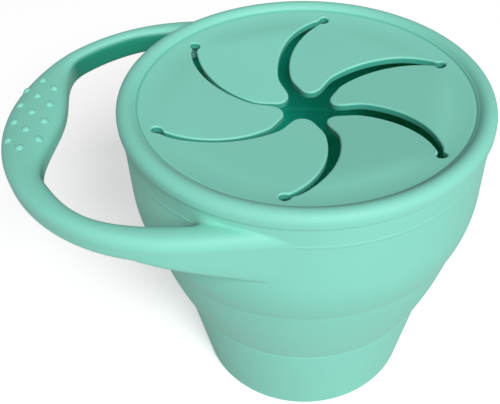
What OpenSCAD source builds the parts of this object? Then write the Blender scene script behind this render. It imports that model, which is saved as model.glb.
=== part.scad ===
// Collapsible snack cup for toddlers, moulded in soft silicone.
// A stiff bowl folds down over a narrower base on a thin web, a loop handle
// with a dotted grip pad stands out on one side, and a push-on lid has six
// swirl-cut flaps that let a small hand in and keep the snacks from spilling.
// Millimetres, +Z up. The origin is the centre of the flat underside, and the
// handle points along -X.

/* [Overall size] */
// Outside radius of the lid's rolled rim
rim_r = 45; // [44.6:0.1:45.6]
// Height of the rolled rim's top above the table
total_h = 87.8; // [87.6:0.1:88.6]
// Reach of the handle from the cup's axis
handle_reach = 72.6; // [71.6:0.1:74]

/* [Base section] */
// Height of the base section, up to the lower fold
base_h = 27.9; // [24:0.1:31]
// Outside radius of the base wall at the lower fold
base_top_r = 34.4; // [33.5:0.1:35.5]
// Outside radius where the base wall would meet the table
base_foot_r = 29.7; // [28.5:0.1:31]
// Rounding of the base's outside bottom edge
foot_round = 1; // [0.8:0.1:2]
// Rounding of the base's inside bottom edge
inner_round = 2.5; // [1.5:0.1:3.5]
// Thickness of the base wall
base_t = 2.2; // [1.8:0.1:2.6]
// Thickness of the floor
floor_t = 2.4; // [2:0.1:3]

/* [Fold web] */
// Height of the upper fold, where the web meets the bowl
fold_h = 52.6; // [50:0.1:55]
// Thickness of the web that turns inside out
web_t = 1.3; // [1:0.1:1.6]
// How far the web's outside bulges past a straight cone
web_bulge = 0.7; // [0.4:0.1:1.2]
// Step in from the bowl to the web at the upper fold
upper_step = 0.3; // [0.2:0.1:0.6]
// Step in from the base to the web at the lower fold
lower_step = 0.5; // [0.3:0.1:0.8]

/* [Bowl] */
// Outside radius of the bowl's upright wall
bowl_r = 44.2; // [44:0.1:44.4]
// Thickness of the bowl wall
bowl_t = 2.6; // [2.4:0.1:2.8]
// Height at which the wall starts to curve inward
swell_h = 66; // [64:0.5:68]
// Radius of that inward curve, seen in section
swell_r = 37.2; // [35:0.1:42]
// Height of the shoulder that the lid's lip comes down to
shoulder_h = 84.2; // [83.8:0.1:84.4]
// Height of the tongue above the shoulder, which the lid grips
tongue_h = 1.8; // [1.4:0.1:1.8]
// Thickness of the tongue
tongue_t = 1.6; // [1.4:0.1:1.8]
// Distance of the tongue's outer face in from the bowl's outside
tongue_set = 0.7; // [0.5:0.05:0.8]

/* [Handle] */
// Height of the parting plane through the middle of the handle
part_h = 78.6; // [77:0.1:79]
// Height of the handle's top above that plane
half_h = 3; // [2.6:0.1:3.4]
// How much deeper the handle is below that plane than above it
low_extra = 0.5; // [0:0.1:0.8]
// Width of an arm halfway along its free length
arm_w = 4.5; // [4.2:0.1:5]
// Distance of an arm's outer face from the middle plane of the handle
arm_y = 45.3; // [45:0.1:46]
// Distance of the grip pad's inner edge from the cup's axis, before softening
pad_inner_x = 60.6; // [60:0.1:61.2]
// How far that edge draws back from its middle to its ends
pad_bow = 6; // [5:0.1:6.5]
// Depth that the gusset under an arm adds where it meets the wall
gusset_h = 10.8; // [9:0.1:11.5]
// Length over which the gusset grows
gusset_l = 34; // [28:1:38]
// Rise of an arm's top where it meets the wall
arm_rise = 0.2; // [0:0.1:0.6]

/* [Grip dots] */
// Spacing of the dots along the pad
dot_gap = 6.9; // [6:0.1:7.5]
// Distance between the three rows of dots
dot_row = 3.6; // [3.2:0.1:3.8]
// Distance of the middle row from the handle's far end
dot_inset = 6.4; // [6:0.1:7]
// Radius of the ball that makes a dot
dot_r = 1.25; // [1:0.05:1.5]
// Height of a dot above the pad
dot_h = 0.6; // [0.4:0.05:0.8]

/* [Lid rim] */
// Lowest edge of the lid's outer lip
lip_h = 84.25; // [84.1:0.05:84.45]
// Radius of the rolled rim's outer rounding
roll_r = 2.2; // [2:0.1:2.4]
// Slope in degrees from the rim's crest down to the membrane
rim_slope = 41; // [38:1:45]
// Radius of the groove between the rolled rim and the membrane
groove_r = 40.3; // [40.1:0.1:40.6]
// Depth of the plug skirt below the membrane's underside
skirt_drop = 3.8; // [3:0.1:5]
// Thickness of the plug skirt
skirt_t = 1.8; // [1.4:0.1:2.2]
// Free gap between the lid and the cup all round
seat_gap = 0.3; // [0.2:0.05:0.35]

/* [Flaps] */
// Height of the membrane's top face at the flaps' fold lines
membrane_h = 85.5; // [85.2:0.1:85.7]
// Rise of the membrane from the round slit ends out to the groove
dish = 0.8; // [0.5:0.1:0.9]
// Thickness of the membrane and the flaps
flap_t = 2; // [1.6:0.1:2.2]
// Distance of the round slit ends from the cup's axis
keyhole_ring = 36.8; // [35.8:0.1:37.4]
// Radius of the round slit ends
keyhole_r = 1.3; // [1.1:0.1:1.5]
// Turn of the slit pattern about the axis
slit_turn = 21.1; // [0:0.1:60]
// Rate at which a slit swirls, in degrees for the first millimetre inward
swirl = 2.45; // [2:0.05:2.7]
// Power of the swirl, where 1 turns evenly and less turns most at the ends
swirl_power = 0.82; // [0.75:0.01:0.9]
// Width of a slit at its outer end
slit_w_end = 1.2; // [1:0.1:1.5]
// Width of a slit at the flaps' tips
slit_w_tip = 3.6; // [3.2:0.1:3.8]
// Distance from the cup's axis to the centre of a flap's round tip
tip_ring = 9.2; // [9:0.1:10]
// Radius of a flap's round tip
tip_round = 3; // [2.8:0.1:3.2]
// Angle by which the tip lags behind the middle between its two slits
tip_lag = 6; // [4:1:8]
// Distance from the axis at which a flap's fold line meets the slit
root_r = 31; // [30:0.1:32]
// Mean angle by which the flaps hang below the membrane
droop = 7.5; // [5:0.5:8]
// Running gap round a flap's rounded root
root_gap = 0.3; // [0.2:0.05:0.4]

/* [Hidden] */
$fn = 128;

silicone = [0.51, 0.81, 0.745];
silicone_light = [0.58, 0.87, 0.80];
silicone_deep = [0.40, 0.70, 0.64];

flap_count = 6;
slit_points = 12;
section_points = 24;
// How much further than the mean each soft flap has sagged
sag = [0, 1.5, -1.5, -3, 1, 0.5];
// Fullness of a slit between its end and the tips, where 1 widens evenly
slit_power = 0.8;
// Length over which a flap narrows to its round tip, and that tip's half angle
neck = 3.4;
tip_span = 72;
// Margin by which cutting bodies pass the faces that they cut
past = 1;
// Overlap of joined shapes, and gap between two pieces of one moulding
sliver = 0.01;

// Slope of the base wall
base_slope = atan((base_top_r - base_foot_r) / base_h);

// Web arc through its two fold circles
bowl_foot_r = bowl_r - swell_r + sqrt(pow(swell_r, 2) - pow(swell_h - fold_h, 2));
web_top = [bowl_foot_r - upper_step, fold_h];
web_low = [base_top_r - lower_step, base_h];
web_chord = norm(web_top - web_low);
web_arc_r = (pow(web_chord / 2, 2) + pow(web_bulge, 2)) / (2 * web_bulge);
web_inward = [-(web_top[1] - web_low[1]), web_top[0] - web_low[0]] / web_chord;
web_centre = (web_top + web_low) / 2 + web_inward * (web_arc_r - web_bulge);

// Centre of the handle's round end, and the angle where pad and arm meet
loop_r = 44.4;
loop_x = loop_r - handle_reach;
pad_end = 36;
// Half length of the pad's inner edge, and softness of its two inner corners
pad_half = 17;
pad_blend = 24.3;
// Extra fillet in the front inner corner, and its angle and spread on the loop
corner_fill = 1.7;
corner_turn = 37.4;
corner_span = 16.9;
// Width of an arm at the wall, and where along X the arm has faded into it
arm_root_w = 6.2;
arm_end_x = -3;
// Angle round the loop from which the arm widens, and its depth in the wall
widen_from = 60;
fade_in = 0.05;
// Fullness of the handle's section above and below the parting plane, where 2
// is an ellipse and more is squarer
full_up = 2.5;
full_down = 3.2;

// Outside and inside radius of the plug skirt
plug_r = bowl_r - bowl_t - seat_gap;
skirt_in = plug_r - skirt_t;

function smooth(x) = let (c = max(0, min(1, x))) c * c * (3 - 2 * c);
function soft_min(a, b, blend) =
    min(a, b) - pow(max(blend - abs(a - b), 0), 3) / (6 * pow(blend, 2));

// Outside and inside of the handle loop in plan, as distances from the loop's
// centre at an angle from -X, which is negative on the front side
function loop_out(a) = loop_r + (arm_y - loop_r) * pow(sin(a), 2);
function loop_arm_w(a) =
    arm_w + (arm_root_w - arm_w) * smooth((abs(a) - widen_from) / (90 - widen_from));
function pad_edge(a) =
    let (mid = pad_inner_x + loop_x)
    (mid + pad_bow * pow(mid * tan(a) / pad_half, 2)) / cos(a);
function loop_in(a) =
    let (arm_in = loop_out(a) - loop_arm_w(a),
         fill = corner_fill * exp(-pow((a + corner_turn) / corner_span, 2)))
    (abs(a) < widen_from ? soft_min(arm_in, pad_edge(a), pad_blend) : arm_in) - fill;

// Depth of the handle below its parting plane at a place along X
function handle_low(x) =
    half_h + low_extra + gusset_h * max(0, 1 - (arm_end_x - x) / gusset_l);

// A rounded section with a fuller lower half: half width, height up, depth down
function section(half_w, up, down) = [
    for (j = [0 : section_points - 1])
        let (t = 360 * j / section_points,
             n = sin(t) >= 0 ? full_up : full_down,
             h = sin(t) >= 0 ? up : down)
        [half_w * sign(cos(t)) * pow(abs(cos(t)), 2 / n),
         h * sign(sin(t)) * pow(abs(sin(t)), 2 / n)]
];

// Height of the handle's top above the parting plane at a place in plan
function loop_top(x, y) =
    let (a = atan2(y, loop_x - x),
         off = norm([x - loop_x, y]) - (loop_out(a) + loop_in(a)) / 2,
         half_w = (loop_out(a) - loop_in(a)) / 2)
    half_h * pow(1 - pow(abs(off) / half_w, full_up), 1 / full_up);

// A ring of the handle round the loop at an angle, on the side s = 1 or -1
function loop_ring(a, s) =
    let (inside = loop_in(s * a),
         mid = (loop_out(a) + inside) / 2,
         half_w = (loop_out(a) - inside) / 2)
    [for (p = section(half_w, half_h, handle_low(loop_x - mid * cos(a))))
        [loop_x - (mid + p[0]) * cos(a), s * (mid + p[0]) * sin(a), part_h + p[1]]];

// A ring of the straight root of an arm at a place along X
function root_ring(x, s) =
    let (run = smooth((x - loop_x) / (arm_end_x - loop_x)),
         outer = arm_y - (arm_y - bowl_r + fade_in) * run,
         half_w = arm_root_w / 2)
    [for (p = section(half_w, half_h + arm_rise * run, handle_low(x)))
        [x, s * (outer - half_w + p[0]), part_h + p[1]]];

// Rings of equal point counts joined to a closed body
module sweep(rings) {
    n = len(rings[0]);
    m = len(rings);
    polyhedron(
        points = [for (r = rings) each r],
        faces = concat(
            [[for (j = [0 : n - 1]) j]],
            [for (i = [0 : m - 2], j = [0 : n - 1])
                [i * n + j, (i + 1) * n + j, (i + 1) * n + (j + 1) % n, i * n + (j + 1) % n]],
            [[for (j = [n - 1 : -1 : 0]) (m - 1) * n + j]]),
        convexity = 6);
}

// Slit number k: turn at a distance from the axis, its midline and one side
function slit_angle(r, k) =
    slit_turn + 360 / flap_count * k + swirl * pow(max(0, keyhole_ring - r), swirl_power);
function slit_mid(r, k) = r * [cos(slit_angle(r, k)), sin(slit_angle(r, k))];
function slit_w(r) =
    let (run = max(0, keyhole_ring - r) / (keyhole_ring - tip_ring + tip_round))
    slit_w_end + (slit_w_tip - slit_w_end) * pow(run, slit_power);
function slit_side(r, k, s) =
    let (step = 0.1,
         d = slit_mid(r - step, k) - slit_mid(r + step, k),
         t = d / norm(d))
    slit_mid(r, k) + s * slit_w(r) / 2 * [-t[1], t[0]];

// Outline of the flap between slits k and k + 1, fold line included
function flap_outline(k) =
    let (tip_a = (slit_angle(tip_ring, k) + slit_angle(tip_ring, k + 1)) / 2 - tip_lag,
         near_tip = tip_ring + neck,
         near_end = keyhole_ring - keyhole_r / 2,
         tip_points = 8)
    concat(
        [for (i = [0 : slit_points])
            slit_side(root_r + (near_tip - root_r) * i / slit_points, k, -1)],
        [for (i = [0 : tip_points])
            let (a = tip_a + 180 + tip_span * (1 - 2 * i / tip_points))
            tip_ring * [cos(tip_a), sin(tip_a)] + tip_round * [cos(a), sin(a)]],
        [for (i = [slit_points : -1 : 0])
            slit_side(near_end + (near_tip - near_end) * i / slit_points, k + 1, 1)],
        [slit_mid(keyhole_ring, k + 1)]);

// Fold line of flap k: from its slit to the next keyhole, its middle and turn
function fold_from(k) = slit_side(root_r, k, -1);
function fold_to(k) = slit_mid(keyhole_ring, k + 1);
function fold_turn(k) = let (d = fold_to(k) - fold_from(k)) atan2(d[1], d[0]);
function fold_length(k) = norm(fold_to(k) - fold_from(k));

// Height of the membrane's top, which dishes down from the groove to the flaps
function membrane_top(r) =
    membrane_h + dish * max(0, r - keyhole_ring) / (groove_r - keyhole_ring);

// Half section of the base, outside or inside
module base_side(top, wall, bottom, round) {
    slope_x = base_foot_r - wall / cos(base_slope);
    cx = slope_x + (bottom + round) * tan(base_slope) - round / cos(base_slope);
    polygon([[0, bottom], [cx, bottom],
             [cx + round * cos(base_slope), bottom + round - round * sin(base_slope)],
             [slope_x + top * tan(base_slope), top], [0, top]]);
    translate([cx, bottom + round]) circle(round);
}

// Half section of the bowl's body, taken in from the outside by inset
module bowl_side(inset, low, top) {
    translate([0, swell_h]) square([bowl_r - inset, top - swell_h]);
    intersection() {
        translate([bowl_r - swell_r, swell_h]) circle(swell_r - inset);
        translate([0, low]) square([bowl_r, swell_h - low + sliver]);
    }
}

module cup_base() {
    color(silicone_light)
    rotate_extrude()
    difference() {
        base_side(base_h, 0, 0, foot_round);
        base_side(base_h + past, base_t, floor_t, inner_round);
    }
}

module fold_web() {
    color(silicone_deep)
    rotate_extrude()
    intersection() {
        difference() {
            translate(web_centre) circle(web_arc_r, $fn = 720);
            translate(web_centre) circle(web_arc_r - web_t, $fn = 720);
        }
        translate([base_top_r / 2, base_h]) square([bowl_r, fold_h - base_h]);
    }
}

module cup_bowl() {
    tongue_out = bowl_r - tongue_set;
    color(silicone)
    rotate_extrude() {
        difference() {
            bowl_side(0, fold_h, shoulder_h);
            bowl_side(bowl_t, fold_h - past, shoulder_h + past);
        }
        translate([tongue_out - tongue_t, shoulder_h - sliver])
            square([tongue_t, tongue_h - tongue_t / 2]);
        translate([tongue_out - tongue_t / 2, shoulder_h + tongue_h - tongue_t / 2])
            circle(tongue_t / 2);
    }
}

// One arm, from the end of the grip pad to where it fades into the wall
module handle_arm(s) {
    loop_steps = 14;
    root_steps = 9;
    rings = concat(
        [for (i = [0 : loop_steps]) loop_ring(pad_end + (90 - pad_end) * i / loop_steps, s)],
        [for (i = [1 : root_steps]) root_ring(loop_x + (arm_end_x - loop_x) * i / root_steps, s)]);
    color(silicone)
    difference() {
        sweep(s > 0 ? rings : [for (r = rings) [for (j = [section_points - 1 : -1 : 0]) r[j]]]);
        cylinder(r = bowl_r + sliver, h = total_h, $fn = 360);
    }
}

module handle_arm_front() { handle_arm(-1); }

module handle_arm_back() { handle_arm(1); }

// Flat pad at the handle's far end, with thirteen raised dots on top
module grip_pad() {
    pad_steps = 22;
    color(silicone) {
        sweep([for (i = [0 : pad_steps]) loop_ring(-pad_end + 2 * pad_end * i / pad_steps, 1)]);
        for (row = [-1 : 1]) {
            last = row == 0 ? 4 : 3;
            for (i = [0 : last]) {
                x = dot_inset - handle_reach + dot_row * row;
                y = dot_gap * (i - last / 2);
                translate([x, y, part_h + loop_top(x, y) + dot_h - dot_r])
                    sphere(dot_r, $fn = 24);
            }
        }
    }
}

// Rolled rim over the cup's tongue, with the plug skirt inside the bowl
module lid_rim() {
    roll_x = rim_r - roll_r;
    roll_z = total_h - roll_r;
    slope_x = roll_x - roll_r * sin(rim_slope);
    slope_z = roll_z + roll_r * cos(rim_slope);
    groove_z = slope_z - (slope_x - groove_r) * tan(rim_slope);
    channel_in = bowl_r - tongue_set - tongue_t - seat_gap;
    channel_out = bowl_r - tongue_set + seat_gap;
    channel_top = shoulder_h + tongue_h + seat_gap;
    skirt_low = membrane_h - flap_t - skirt_drop;
    color(silicone)
    rotate_extrude()
    difference() {
        union() {
            translate([roll_x, roll_z]) intersection() {
                circle(roll_r);
                translate([-roll_r, 0]) square([2 * roll_r, roll_r]);
            }
            polygon([[skirt_in, skirt_low], [plug_r, skirt_low], [plug_r, lip_h],
                     [rim_r, lip_h], [rim_r, roll_z], [roll_x, roll_z],
                     [slope_x, slope_z], [groove_r, groove_z],
                     [skirt_in, membrane_top(skirt_in)]]);
        }
        translate([channel_in, lip_h - past])
            square([channel_out - channel_in, channel_top - lip_h + past]);
    }
}

// Dished ring of the membrane, cut back to the fold lines of the six flaps
module lid_membrane() {
    edge_points = 5;
    low = membrane_h - flap_t;
    edge_r = skirt_in - sliver;
    color(silicone)
    difference() {
        rotate_extrude()
            polygon([[0, low], [edge_r, low], [edge_r, membrane_top(edge_r)],
                     [keyhole_ring, membrane_h], [0, membrane_h]]);
        for (k = [0 : flap_count - 1]) {
            translate([0, 0, low - past]) {
                linear_extrude(flap_t + 2 * past)
                    polygon([for (s = [-1, 1], i = [0 : edge_points])
                        let (part = s < 0 ? i / edge_points : 1 - i / edge_points)
                        slit_side(root_r + (keyhole_ring - root_r) * part, k, s)]);
                linear_extrude(flap_t + 2 * past)
                    polygon([[0, 0], fold_from(k), fold_to(k), fold_from(k + 1)]);
                translate(concat(slit_mid(keyhole_ring, k), [0]))
                    cylinder(r = keyhole_r, h = flap_t + 2 * past, $fn = 32);
            }
            translate(concat(fold_from(k), [membrane_h - flap_t / 2]))
                rotate([0, 0, fold_turn(k)]) rotate([0, 90, 0])
                    translate([0, 0, -past])
                        cylinder(r = flap_t / 2 + root_gap, h = fold_length(k) + past, $fn = 48);
        }
    }
}

// Flap k, hung from its fold line by the droop, with a rounded root
module flap(k) {
    hinge_z = membrane_h - flap_t / 2;
    color(silicone)
    translate(concat(fold_from(k), [hinge_z]))
    rotate([0, 0, fold_turn(k)])
    rotate([-droop - sag[k], 0, 0])
    difference() {
        union() {
            rotate([0, 0, -fold_turn(k)])
            translate(concat(-fold_from(k), [-flap_t / 2]))
                linear_extrude(flap_t) polygon(flap_outline(k));
            rotate([0, 90, 0])
                cylinder(r = flap_t / 2, h = fold_length(k), $fn = 48);
        }
        rotate([0, 0, -fold_turn(k)])
        translate(concat(fold_to(k) - fold_from(k), [-flap_t]))
            cylinder(r = keyhole_r, h = 2 * flap_t, $fn = 32);
    }
}

module flap_1() { flap(0); }
module flap_2() { flap(1); }
module flap_3() { flap(2); }
module flap_4() { flap(3); }
module flap_5() { flap(4); }
module flap_6() { flap(5); }

cup_base();
fold_web();
cup_bowl();
handle_arm_front();
handle_arm_back();
grip_pad();
lid_rim();
lid_membrane();
flap_1();
flap_2();
flap_3();
flap_4();
flap_5();
flap_6();
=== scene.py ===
"""Soft silicone snack cup that folds down over its base, dressed over its CAD frame.

Two silicone mouldings are shown: the cup, with its fold web, its loop handle and
the dotted grip pad, and the push-on lid with six swirl-cut flaps. Sizes are in
millimetres until a mesh is made, and the frame is the CAD model's: the table is
z = 0, the cup's axis is Z and the handle points along -X.
"""
import logging
import math
from collections.abc import Callable, Sequence
from dataclasses import dataclass, field
from enum import Enum

import bmesh
import bpy
import numpy as np
from mathutils import Matrix, Vector
from mathutils.geometry import delaunay_2d_cdt


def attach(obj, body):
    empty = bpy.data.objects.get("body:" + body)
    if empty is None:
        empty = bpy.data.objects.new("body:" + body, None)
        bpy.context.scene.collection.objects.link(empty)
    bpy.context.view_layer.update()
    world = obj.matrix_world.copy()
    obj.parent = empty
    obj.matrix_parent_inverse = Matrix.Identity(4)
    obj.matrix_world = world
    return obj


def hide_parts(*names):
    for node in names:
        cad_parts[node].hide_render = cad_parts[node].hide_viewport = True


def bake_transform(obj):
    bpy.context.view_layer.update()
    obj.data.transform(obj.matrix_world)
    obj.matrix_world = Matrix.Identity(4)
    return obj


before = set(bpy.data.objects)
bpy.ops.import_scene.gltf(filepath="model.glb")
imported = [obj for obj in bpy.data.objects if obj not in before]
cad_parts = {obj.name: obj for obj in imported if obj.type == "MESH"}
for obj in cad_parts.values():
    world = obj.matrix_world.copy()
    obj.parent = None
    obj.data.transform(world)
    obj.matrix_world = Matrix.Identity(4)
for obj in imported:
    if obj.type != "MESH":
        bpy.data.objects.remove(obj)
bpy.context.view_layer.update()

LOG = logging.getLogger("snack_cup")
WHITE = (1.0, 1.0, 1.0, 1.0)

# One millimetre, and the gap below which two points are one, in metres.
MM = 0.001
SAME_PLACE = 1e-7

# The least length that counts, and the gap below which plan points are one, in millimetres.
NEARLY_ZERO = 1e-6
SAME_SPOT = 1e-5

# Half the angle of a corner too blunt to round, and the fold of an edge that stays sharp.
NEARLY_STRAIGHT = math.radians(88)
CREASE = 50.0

Point = tuple[float, float]
Corner = Place = Colour = tuple[float, float, float]


class Slot(Enum):
    """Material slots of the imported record."""

    BASE = "silicone_base"
    WEB = "silicone_web"
    BOWL = "silicone_bowl"
    HANDLE = "silicone_handle"
    LID = "silicone_lid"


class Body(Enum):
    """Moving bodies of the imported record, apart from the six petals."""

    BASE = "base"
    BOWL = "bowl"
    LID = "lid"


class PaintedShade(Enum):
    """Where a moulding gets painted shade, a richer green painted on faces that lie in shade."""

    INSIDE = "surfaces that face the cup's axis"
    ARMS = "sides of the handle's arms that look at each other"
    SLITS = "cut edges, underside and groove of the lid"


@dataclass(frozen=True)
class PaintedShadeLimits:
    """Where each painted shade starts and where it is full, as cosines or in metres."""

    # Painted shade inside the cup, by how squarely a face turns towards the axis.
    inward: Point = (-0.2, -0.7)
    # Painted shade on the sides of the arms that face the hand hole, less on level tops.
    hand_hole: Place = (-0.045, 0.0, 0.0)
    arm_side: Point = (-0.013, -0.024)
    arm_level: Point = (0.75, 0.2)
    # Painted shade on the lid's cut edges and underside, inside the keyhole ring.
    cut_level: Point = (0.6, 0.05)
    cut_reach: Point = (0.0395, 0.0390)
    # A narrow band of painted shade in the groove between the membrane and the rim.
    groove_inner: Point = (0.03990, 0.04015)
    groove_outer: Point = (0.04060, 0.04030)
    painted_groove_shade: float = 0.55


# Materials: shader maths, and the finish of the silicone with its painted shade.


class Wire:
    """A number socket that takes part in Python arithmetic."""

    def __init__(self, graph: "Graph", socket: bpy.types.NodeSocket) -> None:
        """Wraps one output socket of a graph."""
        self.graph = graph
        self.socket = socket

    def _maths(self, operation: str, *terms: "Wire | float") -> "Wire":
        """Adds one Math node on the given terms and returns its result."""
        node = self.graph.node(
            "ShaderNodeMath", dict(enumerate(terms)), {"operation": operation}
        )
        return Wire(self.graph, node.outputs[0])

    def __add__(self, other: "Wire | float") -> "Wire":
        """Sum."""
        return self._maths("ADD", self, other)

    __radd__ = __add__

    def __sub__(self, other: "Wire | float") -> "Wire":
        """Difference."""
        return self._maths("SUBTRACT", self, other)

    def __rsub__(self, other: float) -> "Wire":
        """Difference from a number."""
        return self._maths("SUBTRACT", other, self)

    def __mul__(self, other: "Wire | float") -> "Wire":
        """Product."""
        return self._maths("MULTIPLY", self, other)

    __rmul__ = __mul__


class Graph:
    """The node graph of one new material or world."""

    def __init__(self, owner: bpy.types.Material | bpy.types.World) -> None:
        """Gives the owner an empty node tree."""
        self.owner = owner
        owner.use_nodes = True
        self.tree = owner.node_tree
        self.tree.nodes.clear()

    def node(
        self,
        kind: str,
        sockets: dict[int | str, object] | None = None,
        settings: dict[str, object] | None = None,
    ) -> bpy.types.Node:
        """Adds a node, sets it up and fills its input sockets.

        Args:
            kind: the node's Blender type.
            sockets: values, wires or output sockets by input name or number.
            settings: properties by name, which are set first.

        Returns:
            The new node.
        """
        made = self.tree.nodes.new(kind)
        for name, value in (settings or {}).items():
            setattr(made, name, value)
        for key, value in (sockets or {}).items():
            source = value.socket if isinstance(value, Wire) else value
            if isinstance(source, bpy.types.NodeSocket):
                self.tree.links.new(source, made.inputs[key])
            else:
                made.inputs[key].default_value = source
        return made

    def noise(self, scale: float, detail: float) -> Wire:
        """Adds noise that is fixed to the moulding.

        Args:
            scale: how fine the noise is, per metre.
            detail: how many finer layers it has.

        Returns:
            The noise, 0.5 on average.
        """
        place = self.node("ShaderNodeTexCoord").outputs["Object"]
        made = self.node(
            "ShaderNodeTexNoise", {"Vector": place, "Scale": scale, "Detail": detail}
        )
        return Wire(self, made.outputs["Fac"])

    def painted_shade_share(self, shade: PaintedShade) -> Wire:
        """Works out how much painted shade each place of the moulding gets.

        Args:
            shade: the painted shade that the moulding has.

        Returns:
            A share of painted shade, 0 in the open and 1 in full shade.
        """
        at = PaintedShadeLimits()
        coords = self.node("ShaderNodeTexCoord").outputs
        flat = self.vector("MULTIPLY", coords["Object"], (1.0, 1.0, 0.0)).outputs["Vector"]
        # Painted shade inside the cup: faces that turn towards its axis.
        if shade is PaintedShade.INSIDE:
            radial = self.vector("NORMALIZE", flat).outputs["Vector"]
            facing = self.vector("DOT_PRODUCT", radial, coords["Normal"]).outputs["Value"]
            return self.ramp(facing, *at.inward)
        level = self.node("ShaderNodeSeparateXYZ", {0: coords["Normal"]}).outputs["Z"]
        # Painted shade on the sides of the arms that look at each other.
        if shade is PaintedShade.ARMS:
            reach = self.vector("SUBTRACT", flat, at.hand_hole).outputs["Vector"]
            facing = self.vector("DOT_PRODUCT", reach, coords["Normal"]).outputs["Value"]
            return self.ramp(facing, *at.arm_side) * self.ramp(level, *at.arm_level)
        # Painted shade on the lid's cut edges and underside, plus a band of it in the groove.
        reach = self.vector("LENGTH", flat).outputs["Value"]
        cut = self.ramp(level, *at.cut_level) * self.ramp(reach, *at.cut_reach)
        groove = self.ramp(reach, *at.groove_inner) * self.ramp(reach, *at.groove_outer)
        return cut + at.painted_groove_shade * groove

    def ramp(self, value: object, start: float, end: float) -> Wire:
        """Smooth step from 0 at the start to 1 at the end."""
        made = self.node(
            "ShaderNodeMapRange",
            {"Value": value, "From Min": start, "From Max": end},
            {"interpolation_type": "SMOOTHSTEP"},
        )
        return Wire(self, made.outputs["Result"])

    def vector(self, operation: str, *terms: object) -> bpy.types.Node:
        """Adds one Vector Math node on the given terms."""
        return self.node("ShaderNodeVectorMath", dict(enumerate(terms)), {"operation": operation})

    def blend(self, share: Wire, first: object, second: object) -> bpy.types.NodeSocket:
        """Mixes two colours, each given as a colour or as a socket.

        Args:
            share: 0 for the first colour alone, up to 1 for the second.
            first: the first colour.
            second: the second colour.

        Returns:
            The socket of the mixed colour.
        """
        ends = [(*c, 1.0) if isinstance(c, tuple) else c for c in (first, second)]
        made = self.node(
            "ShaderNodeMix", {"Factor": share, 6: ends[0], 7: ends[1]}, {"data_type": "RGBA"}
        )
        return made.outputs[2]

    def seen_as(self, eye: bpy.types.Node, light: bpy.types.Node) -> bpy.types.NodeSocket:
        """Joins two shaders, one for the camera and one for the light.

        Args:
            eye: the shader that the camera sees.
            light: the shader that takes part in the lighting.

        Returns:
            The socket of the joined shader.
        """
        path = self.node("ShaderNodeLightPath").outputs["Is Camera Ray"]
        ends = {0: path, 1: light.outputs[0], 2: eye.outputs[0]}
        return self.node("ShaderNodeMixShader", ends).outputs[0]


@dataclass(frozen=True)
class Silicone:
    """Matte moulded silicone in one tint, with a richer green painted where it lies in shade."""

    name: str
    colour: Colour = (0.262, 0.745, 0.605)
    # Richer green painted as shade; this default is the painted shade inside the cup.
    painted_shade_colour: Colour = (0.010, 0.850, 0.580)
    shade: PaintedShade = PaintedShade.INSIDE
    drift: float = 0.03
    drift_scale: float = 45.0
    drift_detail: float = 2.0
    roughness: float = 0.55
    grain: float = 0.10
    grain_depth: float = 0.0001
    grain_scale: float = 3200.0
    grain_detail: float = 3.0
    grain_gloss: float = 0.06
    ior: float = 1.42
    sheen: float = 0.10
    sheen_roughness: float = 0.5

    def material(self) -> bpy.types.Material:
        """Builds the finish: a slow drift of tint, painted shade, and the fine bite of the mould.

        Returns:
            The material, ready for a mesh.
        """
        graph = Graph(bpy.data.materials.new(self.name))
        cloud = graph.noise(self.drift_scale, self.drift_detail)
        bite = graph.noise(self.grain_scale, self.grain_detail)
        low = tuple(c * (1.0 - self.drift) for c in self.colour)
        high = tuple(c * (1.0 + self.drift) for c in self.colour)
        outside = graph.blend(cloud, low, high)
        # Painted shade: the tint is blended towards the richer green where the moulding lies in
        # shade.
        tint = graph.blend(graph.painted_shade_share(self.shade), outside, self.painted_shade_colour)
        bump = graph.node(
            "ShaderNodeBump",
            {"Strength": self.grain, "Distance": self.grain_depth, "Height": bite},
        )
        shader = graph.node(
            "ShaderNodeBsdfPrincipled",
            {
                "Base Color": tint,
                "Roughness": self.roughness + self.grain_gloss * (bite - 0.5),
                "Normal": bump.outputs["Normal"],
                "IOR": self.ior,
                "Sheen Weight": self.sheen,
                "Sheen Roughness": self.sheen_roughness,
            },
        )
        graph.node("ShaderNodeOutputMaterial", {"Surface": shader.outputs["BSDF"]})
        return graph.owner


# Meshes: outlines, turned shapes and the pieces that are made of them.


def smooth(x: np.ndarray | float) -> np.ndarray | float:
    """Smooth step from 0 to 1, for a number or for every number of an array."""
    c = np.clip(x, 0, 1)
    return c * c * (3 - 2 * c)


def rounded(corners: Sequence[Corner], steps: int = 6) -> list[Point]:
    """Rounds the corners of a closed outline.

    Args:
        corners: (x, z, radius) of each corner, in order.
        steps: straight pieces of each rounding.

    Returns:
        The points of the rounded outline.
    """
    points: list[Point] = []
    count = len(corners)
    for i, (x, z, radius) in enumerate(corners):
        here = Vector((x, z))
        back = Vector(corners[i - 1][:2]) - here
        ahead = Vector(corners[(i + 1) % count][:2]) - here
        if radius <= 0 or min(back.length, ahead.length) < NEARLY_ZERO:
            points.append((x, z))
            continue
        back.normalize()
        ahead.normalize()
        half = math.acos(max(-1.0, min(1.0, back.dot(ahead)))) / 2
        if half > NEARLY_STRAIGHT:
            points.append((x, z))
            continue
        middle = here + (back + ahead).normalized() * radius / math.sin(half)
        start = here + back * radius / math.tan(half) - middle
        end = here + ahead * radius / math.tan(half) - middle
        turn = start.angle_signed(end)
        for step in range(steps + 1):
            arm = start.copy()
            arm.rotate(Matrix.Rotation(-turn * step / steps, 2))
            spot = middle + arm
            points.append((spot.x, spot.y))
    return points


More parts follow.
